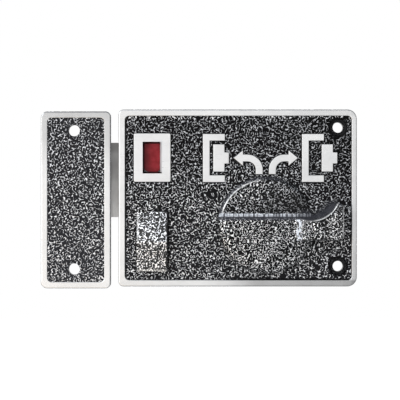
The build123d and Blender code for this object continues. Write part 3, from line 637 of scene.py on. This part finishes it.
# The knob is cast and painted like the case: a disc with a domed lower half, a scooped upper
# half and a raised tail. Its edges are soft from the mould and from hands, so it is shown by
# a smoothed copy of the hard-edged solid.
knob_paint = (0.007, 0.007, 0.0075, 1)
highlight_colour = (1.08, 1.13, 1.22, 1)
knob_flecks = 0.54
grip_spacing = 0.00121
grip_gloss = 0.1
grip_roughness = 0.28
grip_stretch = (300, 300, 300)
grip_blotch = 0.008
handled_roughness = (*noise_span, -0.04, 0.06)
weld_distance = 0.000002
soft_grain = 0.00034
soft_passes = 6

knob_floor_y = -0.033
scoop_foot_z = knob_axis.z + 0.0056
scoop_crest_radius = 0.0151
rim_line_radius = 0.0237
line_half_width = 0.0005
line_core = 0.4
tail_end_x = knob_axis.x + 0.0404
tail_end_highlight = 0.3
ramp_low = knob_axis + Vector((0.0155, -0.06, -0.008))
ramp_high = knob_axis + Vector((0.0245, 0, 0.003))
ramp_edge = 0.0012
ramp_silver = 2.2
floor_fade = (knob_floor_y + 0.0003, knob_floor_y - 0.0003)
tail_fade = (knob_floor_y - 0.004, knob_floor_y - 0.009)
scoop_left_fade = (scoop_axis.x + 0.0002, scoop_axis.x - 0.0002)
foot_fade = (scoop_foot_z + 0.0004, scoop_foot_z + 0.0008)

# The knob's fades are like the cover's, and a line is its middle and half its width. These
# are where highlights are painted on the knob: its rim, the step at the scoop's foot, its tail
# and its ramp.
rim_leftwards = (knob_axis.x + 0.001, knob_axis.x - 0.011, 0.0, 0.85)
rim_grain = 800.0
rim_patches = (0.32, 0.6, 0.5, 1.0)
foot_highlight_line = (scoop_foot_z - 0.0003, 0.0011)
foot_leftwards = (scoop_axis.x - 0.002, scoop_axis.x - 0.012, 0.3, 1.0)
dash_grain = 760.0
dash_leftwards = (knob_axis.x + 0.004, knob_axis.x - 0.016, 0.0, 0.05)
dash_fade = (0.45, 0.53, 0.12, 1.0)
foot_grain = 1100.0
foot_patches = (0.36, 0.58, 0.45, 1.0)
crest_rightwards = (scoop_axis.x, scoop_axis.x + 0.004, 0.15, 0.9)
streak_line = (ramp_low.x + 0.0018, 0.0018)
streak_grain = 480.0
streak_patches = (0.44, 0.54)

# Blue-black shade is painted on its upward steps, on the left flank, in the scoop and under the scoop's
# foot.
upward_fade = (0.25, 0.45)
flank_fade = (rim_line_radius + 0.0001, rim_line_radius + 0.0004)
flank_leftwards = (knob_axis.x + 0.014, knob_axis.x + 0.002, 0.0, 0.6)
scoop_shade_edge = (0.0085, 0.0115, 0.0, 0.8)
scoop_shade_rightwards = (scoop_axis.x - 0.007, scoop_axis.x - 0.002)
foot_shade_line = (scoop_foot_z - 0.0022, 0.0011)
foot_shade_share = 0.8

# Shade and light are painted on its silver: dimmer at the right of the scoop and at the domed
# half's left edge, brighter low on the domed half and brightest on the ramp.
scoop_silver_rightwards = (knob_axis.x - 0.012, knob_axis.x + 0.014, 1.05, 0.49)
scoop_silver_upwards = (-0.0045, 0.004, 0.62, 1.0)
dome_silver_upwards = (knob_axis.z - 0.0165, knob_axis.z - 0.0065, 1.44, 1.06)
left_edge_leftwards = (knob_axis.x - 0.01, knob_axis.x - 0.02, 0.0, 0.2)
left_edge_fade = (0.0215, 0.0245)


def softened(node, name, grain, passes):
    """A copy of a casting whose edges run softly into each other."""
    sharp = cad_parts[node]
    mesh = sharp.data.copy()
    shape = bmesh.new()
    shape.from_mesh(mesh)
    bmesh.ops.remove_doubles(shape, verts=shape.verts, dist=weld_distance)
    shape.to_mesh(mesh)
    shape.free()
    rough = bpy.data.objects.new(name + "_rough", mesh)
    scene.collection.objects.link(rough)
    remesh = rough.modifiers.new("even_grain", "REMESH")
    remesh.mode = "VOXEL"
    remesh.voxel_size = grain
    bpy.context.view_layer.update()
    ready = rough.evaluated_get(bpy.context.evaluated_depsgraph_get())
    smooth = bpy.data.meshes.new_from_object(ready)
    bpy.data.objects.remove(rough)
    shape = bmesh.new()
    shape.from_mesh(smooth)
    for _ in range(passes):
        bmesh.ops.smooth_vert(
            shape, verts=shape.verts, factor=0.5, use_axis_x=True, use_axis_y=True, use_axis_z=True
        )
    for face in shape.faces:
        face.smooth = True
    shape.to_mesh(smooth)
    shape.free()
    smooth.materials.clear()
    piece = bpy.data.objects.new(name, smooth)
    scene.collection.objects.link(piece)
    return piece


def near(tree, value, middle, half):
    """A line with soft edges: one near its middle, and zero past half its width."""
    away = calculate(tree, "ABSOLUTE", calculate(tree, "SUBTRACT", value, middle))
    return spread(tree, away, half, half * line_core)


def highlight_patches(tree, place, grain, fade):
    """A painted highlight that comes and goes in patches of a size."""
    return spread(tree, noise(tree, place, grain, detail=1.0), *fade)


def rim_highlight(tree, place, parts, zones):
    """The painted highlight along the rim of the knob's upper left quarter."""
    from_knob = distance_from(tree, place, knob_axis)
    return all_of(
        tree,
        near(tree, from_knob, rim_line_radius, line_half_width),
        zones["above_foot"],
        spread(tree, parts["X"], *rim_leftwards),
        highlight_patches(tree, place, rim_grain, rim_patches),
    )


def foot_highlight(tree, place, parts, zones):
    """The dashes of painted highlight along the step at the scoop's foot, closer together at the left."""
    along = wire(tree, "CombineXYZ", {"X": parts["X"]}).outputs[0]
    more_at_left = spread(tree, parts["X"], *dash_leftwards)
    ripple = calculate(tree, "ADD", noise(tree, along, dash_grain, detail=1.0), more_at_left)
    return all_of(
        tree,
        near(tree, parts["Z"], *foot_highlight_line),
        zones["left_of_scoop"],
        spread(tree, ripple, *dash_fade),
        highlight_patches(tree, place, foot_grain, foot_patches),
        spread(tree, parts["X"], *foot_leftwards),
    )


def tail_highlight(tree, place, parts, zones):
    """The painted highlight lines along the tail's crest, beside the scoop, and across the tail's end."""
    from_scoop = distance_from(tree, place, scoop_axis)
    crest = all_of(
        tree,
        near(tree, from_scoop, scoop_crest_radius, line_half_width),
        zones["on_tail"],
        spread(tree, parts["X"], *crest_rightwards),
    )
    end = all_of(tree, near(tree, parts["X"], tail_end_x, line_half_width), zones["on_tail"], tail_end_highlight)
    return most(tree, crest, end)


def ramp_highlight(tree, place, parts):
    """The white painted highlight streak on the ramp from the domed half up to the tail."""
    return all_of(
        tree,
        near(tree, parts["X"], *streak_line),
        within(tree, ramp_low, ramp_high),
        highlight_patches(tree, place, streak_grain, streak_patches),
    )


def knob_painted_shade(tree, place, parts, facing, zones):
    """Painted shade on the knob: on its upward steps, its left flank, in its scoop and under the scoop's
    foot.
    """
    on_steps = all_of(tree, spread(tree, facing["Z"], *upward_fade), zones["over_floor"])
    on_flank = all_of(
        tree,
        spread(tree, distance_from(tree, place, knob_axis), *flank_fade),
        spread(tree, parts["X"], *flank_leftwards),
        zones["above_foot"],
    )
    in_scoop = all_of(
        tree,
        spread(tree, distance_from(tree, place, scoop_axis), *scoop_shade_edge),
        spread(tree, parts["X"], *scoop_shade_rightwards),
        zones["above_foot"],
        rest_of(tree, zones["on_tail"]),
    )
    below_foot = all_of(
        tree, near(tree, parts["Z"], *foot_shade_line), zones["left_of_scoop"], foot_shade_share
    )
    return most(tree, on_steps, on_flank, in_scoop, below_foot)


def knob_silver(tree, place, parts, zones):
    """The painted light and shade on the knob's flecks: dimmer to the right in the scoop, brightest on the
    ramp.
    """
    scooped = all_of(
        tree,
        spread(tree, parts["X"], *scoop_silver_rightwards),
        spread(tree, parts["Z"], *scoop_silver_upwards),
    )
    left_edge = all_of(
        tree,
        spread(tree, parts["X"], *left_edge_leftwards),
        spread(tree, distance_from(tree, place, knob_axis), *left_edge_fade),
    )
    domed = all_of(tree, spread(tree, parts["Z"], *dome_silver_upwards), rest_of(tree, left_edge))
    domed = blend_value(tree, within(tree, ramp_low, ramp_high, ramp_edge), domed, ramp_silver)
    return blend_value(tree, zones["above_foot"], domed, scooped)


def knob_marks(tree, coordinates):
    """The knob's painted highlights and painted shade, and the painted light and shade on its flecks."""
    place = coordinates["Object"]
    parts = axis_parts(tree, place)
    facing = axis_parts(tree, coordinates["Normal"])
    zones = {
        "above_foot": spread(tree, parts["Z"], *foot_fade),
        "left_of_scoop": spread(tree, parts["X"], *scoop_left_fade),
        "on_tail": spread(tree, parts["Y"], *tail_fade),
        "over_floor": spread(tree, parts["Y"], *floor_fade),
    }
    rim = rim_highlight(tree, place, parts, zones)
    foot = foot_highlight(tree, place, parts, zones)
    return {
        "bare": most(tree, rim, tail_highlight(tree, place, parts, zones)),
        "chalky": most(tree, foot, ramp_highlight(tree, place, parts)),
        "pooled": knob_painted_shade(tree, place, parts, facing, zones),
        "silver": knob_silver(tree, place, parts, zones),
    }


def grip_material(name, amount, paint_shade, marks):
    """Hammered paint on a part that hands touch, with highlights and shade painted on it."""
    material, tree, surface = new_material(name)
    flecks = grouped(tree, hammer_flecks, Spacing=grip_spacing, Amount=amount)
    lines = grouped(tree, grinding_lines, Stretch=grip_stretch, Blotch=grip_blotch)
    unmarked = {"chalky": 0.0, "pooled": 0.0, "plain": 0.0}
    mark = unmarked | marks(tree, wire(tree, "TexCoord").outputs)
    kept = rest_of(tree, most(tree, mark["pooled"], mark["plain"]))
    fleck = all_of(tree, flecks["Fleck"], kept)

    paint = blend_colour(tree, mark["pooled"], paint_shade, painted_shade_colour)
    silver = brightened(tree, silver_colour[:3], all_of(tree, flecks["Shade"], mark["silver"]))
    colour = blend_colour(tree, fleck, paint, silver)
    colour = blend_colour(tree, mark["bare"], colour, bare_colour)
    colour = blend_colour(tree, mark["chalky"], colour, highlight_colour)
    metallic = most(tree, all_of(tree, fleck, fleck_metal), mark["bare"])
    metallic = all_of(tree, metallic, rest_of(tree, mark["chalky"]))
    roughness = blend_value(tree, fleck, grip_roughness, fleck_roughness)
    handled = spread(tree, lines["Blotches"], *handled_roughness)
    principled(
        tree,
        surface,
        Base_Color=colour,
        Metallic=metallic,
        Roughness=calculate(tree, "ADD", roughness, handled),
        Specular_IOR_Level=grip_gloss,
        Normal=bumped(tree, all_of(tree, flecks["Height"], fleck_depth, kept)),
    )
    return material


knob_cast = softened("knob", "knob_cast", soft_grain, soft_passes)
knob_cast.data.materials.append(grip_material("knob_paint", knob_flecks, knob_paint, knob_marks))
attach(knob_cast, "knob")
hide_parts("knob")


# The slide button is a small wedge-shaped casting in the same paint, with light painted
# into it: its black is paler than the case's, and its upper half's silver dimmer than its lower
# half's. Shade is painted on its steep sides, and fine highlight lines along its left edge
# and its foot.
button_paint = (0.033, 0.033, 0.034, 1)
button_flecks = 0.82
button_middle = (button_low.z + button_high.z) / 2
button_upper_fade = (button_middle - 0.0002, button_middle + 0.0002)
button_left_line = (button_low.x + 0.0005, 0.0006)
button_foot_line = (button_low.z + 0.0006, 0.0006)
button_highlight_share = 0.35
turned_away_fade = (-0.5, -0.3)
turned_right_fade = (0.2, 0.5)
button_lower_silver = 0.83
button_upper_silver = 0.75


def button_marks(tree, coordinates):
    """The slide button's painted highlight lines, the painted shade on its steep sides, and its painted
    light on silver.
    """
    parts = axis_parts(tree, coordinates["Object"])
    facing = axis_parts(tree, coordinates["Normal"])
    upper = spread(tree, parts["Z"], *button_upper_fade)
    left_line = all_of(tree, near(tree, parts["X"], *button_left_line), upper)
    foot_line = all_of(tree, near(tree, parts["Z"], *button_foot_line), rest_of(tree, upper))
    steep = spread(tree, facing["Y"], *turned_away_fade)
    return {
        "bare": all_of(tree, most(tree, left_line, foot_line), button_highlight_share),
        "plain": most(tree, steep, spread(tree, facing["X"], *turned_right_fade)),
        "silver": blend_value(tree, upper, button_lower_silver, button_upper_silver),
    }


dress("snib_button", grip_material("button_paint", button_flecks, button_paint, button_marks))


# The bolt is a steel bar ground to a satin finish with upright lines. Shade is painted on it,
# darker from its lower edge upwards, most of all near its upper edge.
bolt_steel = (0.42, 0.42, 0.42, 1)
upright_lines = (4000, 4000, 60)
bolt_low, bolt_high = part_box("bolt")
bolt_shine_upwards = (bolt_low.z + 0.006, bolt_low.z + 0.028, 1.34, 0.82)
bolt_edge_shine = (bolt_high.z - 0.0065, bolt_high.z - 0.003, 1.0, 0.72)
blotch_shade = 0.86
line_span = (0.25, 0.75)
line_smoothing = 0.06
line_roughening = 0.08
blotch_roughness = (*noise_span, -0.03, 0.05)


def metal_material(name, colour, roughness, stretch, line_depth, blotch=0.01, tint=None, shading=None):
    """A bare or plated metal with the lines of its making and the blotches of handling."""
    material, tree, surface = new_material(name)
    lines = grouped(tree, grinding_lines, Stretch=stretch, Blotch=blotch)
    duller = tint or tuple(blotch_shade * channel for channel in colour[:3]) + (1,)
    shade = blend_colour(tree, spread(tree, lines["Blotches"], *noise_span), colour, duller)
    if shading:
        shade = brightened(tree, shade, shading(tree))
    smoothest = roughness - line_smoothing
    roughest = roughness + line_roughening
    wavering = spread(tree, lines["Lines"], *line_span, smoothest, roughest)
    rough = calculate(tree, "ADD", wavering, spread(tree, lines["Blotches"], *blotch_roughness))
    normal = bumped(tree, calculate(tree, "MULTIPLY", lines["Lines"], line_depth))
    principled(tree, surface, Base_Color=shade, Metallic=1.0, Roughness=rough, Normal=normal)
    return material


def bolt_painted_shade(tree):
    """The painted shade on the bolt at each height."""
    height = axis_parts(tree, wire(tree, "TexCoord").outputs["Object"])["Z"]
    rising = spread(tree, height, *bolt_shine_upwards)
    return all_of(tree, rising, spread(tree, height, *bolt_edge_shine))


satin_steel = metal_material(
    "satin_steel",
    bolt_steel,
    roughness=0.34,
    stretch=upright_lines,
    line_depth=0.000004,
    shading=bolt_painted_shade,
)
dress("bolt", satin_steel)


# The red tile that the window shows while the bolt is thrown is a moulded plastic plate. Two
# moulded pins fasten it to the bolt.
tile_red = (0.27, 0.01, 0.016, 1)
tile_light_red = (0.38, 0.022, 0.032, 1)
tile_gloss = 0.25
tile_stretch = (400, 400, 400)
tile_blotch = 0.003
tile_grain_depth = 0.00002
# A painted shadow darkens the tile towards its left edge.
tile_shadow_fade = (flag_low.x - 0.0005, flag_low.x + 0.0045, 0.56, 1.04)
tile_roughness = (*noise_span, 0.3, 0.45)


def tile_material():
    """Red moulded plastic, a little uneven in colour, with a painted shadow towards its left edge."""
    material, tree, surface = new_material("red_tile")
    lines = grouped(tree, grinding_lines, Stretch=tile_stretch, Blotch=tile_blotch)
    parts = axis_parts(tree, wire(tree, "TexCoord").outputs["Object"])
    colour = blend_colour(tree, spread(tree, lines["Blotches"], *noise_span), tile_red, tile_light_red)
    colour = brightened(tree, colour, spread(tree, parts["X"], *tile_shadow_fade))
    rough = spread(tree, lines["Lines"], *tile_roughness)
    normal = bumped(tree, calculate(tree, "MULTIPLY", lines["Lines"], tile_grain_depth))
    principled(
        tree, surface, Base_Color=colour, Roughness=rough, Specular_IOR_Level=tile_gloss, Normal=normal
    )
    return material


red_tile = tile_material()
dress("indicator_flag", red_tile)
dress("indicator_rivets", red_tile)


# The plate that closes the case from behind, the rails and the snib's plate are pressed from
# zinc-plated steel. The rivets, the stop pin and the screws are turned or headed, and plated
# too, and the four screws at the back have dulled to grey.
zinc = (0.6, 0.62, 0.66, 1)
zinc_warm = (0.62, 0.6, 0.52, 1)
screw_grey = (0.36, 0.35, 0.34, 1)
rolled_lines = (200, 900, 900)
headed_grain = (1500, 1500, 1500)
zinc_plate = metal_material(
    "zinc_plate",
    zinc,
    roughness=0.33,
    stretch=rolled_lines,
    line_depth=0.000006,
    blotch=0.02,
    tint=zinc_warm,
)
for node in ("back_plate", "bolt_guide_upper", "bolt_guide_lower", "snib_plate"):
    dress(node, zinc_plate)
zinc_bright = metal_material(
    "zinc_bright",
    zinc,
    roughness=0.28,
    stretch=headed_grain,
    line_depth=0.000004,
    blotch=0.004,
    tint=zinc_warm,
)
for node in ("guide_rivets", "travel_stop_pin", "rack_rivets", "snib_screws"):
    dress(node, zinc_bright)
screw_steel = metal_material(
    "screw_steel",
    screw_grey,
    roughness=0.32,
    stretch=headed_grain,
    line_depth=0.000004,
    blotch=0.003,
)
dress("back_plate_screws", screw_steel)


# The springs, the circlip, the dished washer and the knob's cross pin are hardened spring
# steel, blued grey by the heat.
spring_blue = (0.16, 0.18, 0.24, 1)
spring_straw = (0.3, 0.26, 0.2, 1)
fine_grain = (900, 900, 900)
spring_steel = metal_material(
    "spring_steel",
    spring_blue,
    roughness=0.3,
    stretch=fine_grain,
    line_depth=0.000003,
    blotch=0.006,
    tint=spring_straw,
)
for node in ("bolt_tension_spring", "snib_spring", "knob_circlip", "knob_spring_washer", "knob_pin"):
    dress(node, spring_steel)


# The spindle is turned from steel bar and milled square, with a slot in its rear end.
# It keeps the fine even grain of the tools.
spindle_steel = (0.52, 0.52, 0.53, 1)
turned_grain = (2500, 2500, 2500)
turned_steel = metal_material(
    "turned_steel",
    spindle_steel,
    roughness=0.3,
    stretch=turned_grain,
    line_depth=0.000004,
)
dress("spindle", turned_steel)


# The two bushes are turned from brass, and the pinion and the rack are cut from it.
# The cutter's lines run from front to back, along the teeth.
brass = (0.72, 0.5, 0.2, 1)
brass_dull = (0.5, 0.34, 0.15, 1)
cutter_lines = (2500, 200, 2500)
turned_brass = metal_material(
    "turned_brass",
    brass,
    roughness=0.26,
    stretch=turned_grain,
    line_depth=0.000004,
    blotch=0.006,
    tint=brass_dull,
)
dress("spindle_bush_front", turned_brass)
dress("spindle_bush_rear", turned_brass)
cut_brass = metal_material(
    "cut_brass",
    brass,
    roughness=0.32,
    stretch=cutter_lines,
    line_depth=0.000006,
    blotch=0.008,
    tint=brass_dull,
)
dress("pinion", cut_brass)
dress("bolt_rack", cut_brass)
